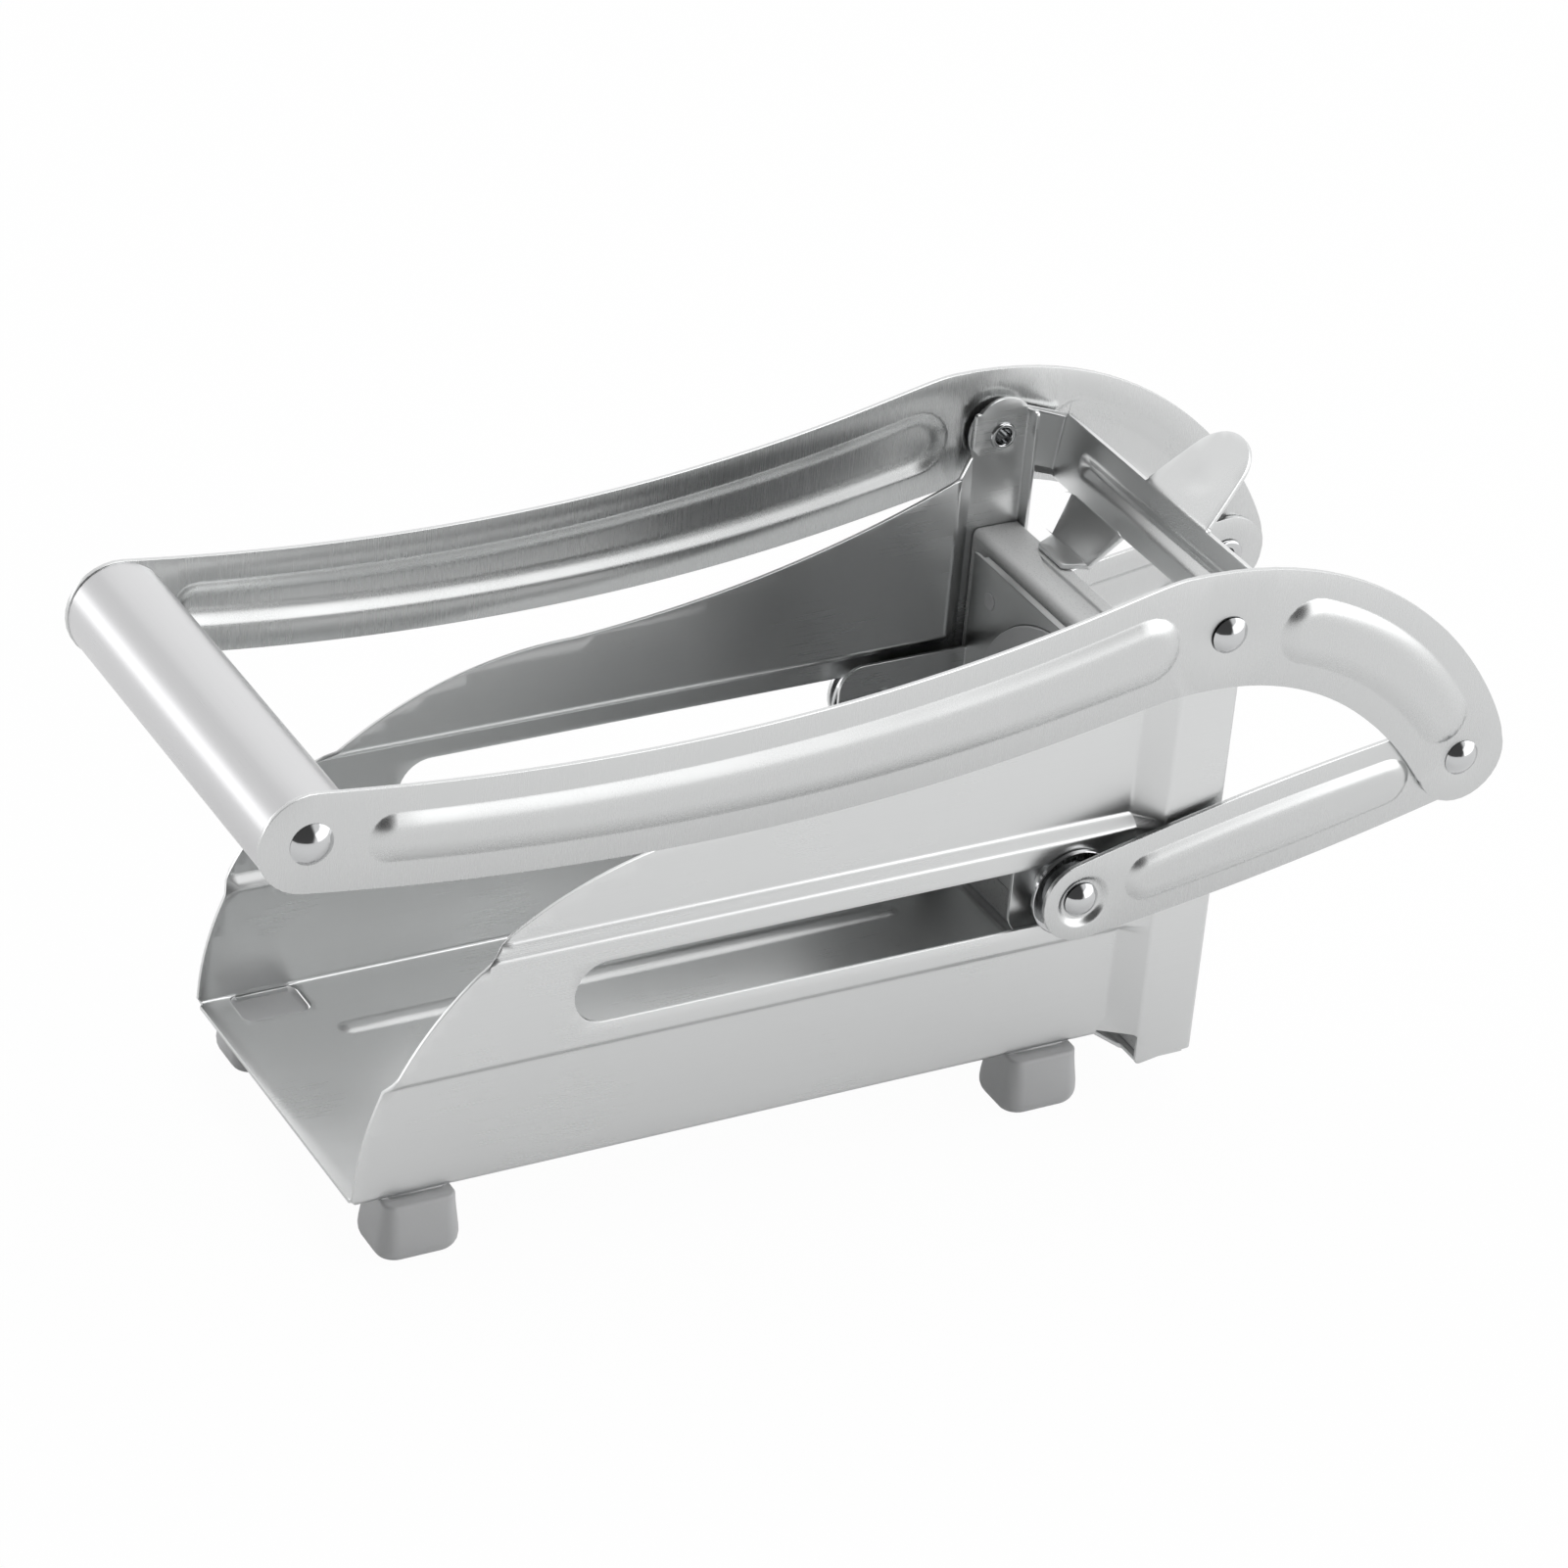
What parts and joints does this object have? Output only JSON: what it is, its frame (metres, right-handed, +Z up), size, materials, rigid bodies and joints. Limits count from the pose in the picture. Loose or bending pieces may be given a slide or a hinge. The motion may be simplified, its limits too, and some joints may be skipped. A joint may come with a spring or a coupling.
{
  "type": "french fry cutter",
  "caption": "Hand-operated french fry cutter: a lever and ribbed links slide a pegged pusher along a steel tray and push a potato through a removable grid of blades.",
  "frame": {"origin": "middle of the bounding box at the height of the feet's undersides", "axes": "+X from the handle to the blade end, +Y to the left of a person behind the handle, +Z up"},
  "size_m": [0.255, 0.0904, 0.114],
  "materials": {
    "steel_sheet": "satin stainless sheet",
    "brushed_tube": "brushed stainless tube",
    "bright_steel": "polished stainless",
    "blade_steel": "ground stainless strip",
    "grey_plastic": "moulded, satin"
  },
  "bodies": {
    "housing": {"body_channel": "steel_sheet", "foot_front_right": "grey_plastic", "foot_front_left": "grey_plastic", "foot_rear_right": "grey_plastic", "foot_rear_left": "grey_plastic", "pivot_rivet_right": "bright_steel", "pivot_rivet_left": "bright_steel", "blade_frame": "grey_plastic", "blade_upright_1": "blade_steel", "blade_upright_2": "blade_steel", "blade_upright_3": "blade_steel", "blade_upright_4": "blade_steel", "blade_upright_5": "blade_steel", "blade_level_1": "blade_steel", "blade_level_2": "blade_steel", "blade_level_3": "blade_steel", "blade_level_4": "blade_steel", "blade_level_5": "blade_steel"},
    "handle": {"lever_arm_right": "steel_sheet", "lever_arm_left": "steel_sheet", "handle_tube": "brushed_tube", "handle_rod": "bright_steel", "tube_plug_right": "grey_plastic", "tube_plug_left": "grey_plastic", "rear_rivet_right": "bright_steel", "rear_rivet_left": "bright_steel"},
    "link_right_side": {"link_right": "steel_sheet", "front_rivet_right": "bright_steel"},
    "link_left_side": {"link_left": "steel_sheet", "front_rivet_left": "bright_steel"},
    "pusher": {"pusher_bracket": "steel_sheet", "pusher_head": "grey_plastic", "slide_bush_right": "bright_steel", "slide_bush_left": "bright_steel", "slide_washer_right": "bright_steel", "slide_washer_left": "bright_steel"},
    "clamp": {"clamp_bail": "steel_sheet"}
  },
  "joints": [
    {"name": "handle_pivot", "type": "hinge", "parent": "housing", "child": "handle", "pos_m": [0.06185, 0, 0.1002], "axis": [0, 1, 0], "range_deg": [0, 90]},
    {"name": "pusher_slide", "type": "slide", "parent": "housing", "child": "pusher", "axis": [-1, 0, 0], "range_m": [0, 0.09485]},
    {"name": "link_right_pivot", "type": "hinge", "parent": "handle", "child": "link_right_side", "pos_m": [0.11825, -0.0415, 0.063], "axis": [0, -1, 0], "range_deg": [0, 76.46]},
    {"name": "link_left_pivot", "type": "hinge", "parent": "handle", "child": "link_left_side", "pos_m": [0.11825, 0.0415, 0.063], "axis": [0, -1, 0], "range_deg": [0, 76.46]},
    {"name": "clamp_swing", "type": "hinge", "parent": "housing", "child": "clamp", "pos_m": [0.06185, 0, 0.1002], "axis": [0, -1, 0], "range_deg": [0, 100]}
  ],
  "couplings": [
    {"joint": "pusher_slide", "follows": "handle_pivot", "m_per_rad": 0.060374},
    {"joint": "link_right_pivot", "follows": "handle_pivot", "ratio": 0.84946},
    {"joint": "link_left_pivot", "follows": "handle_pivot", "ratio": 0.84946}
  ]
}
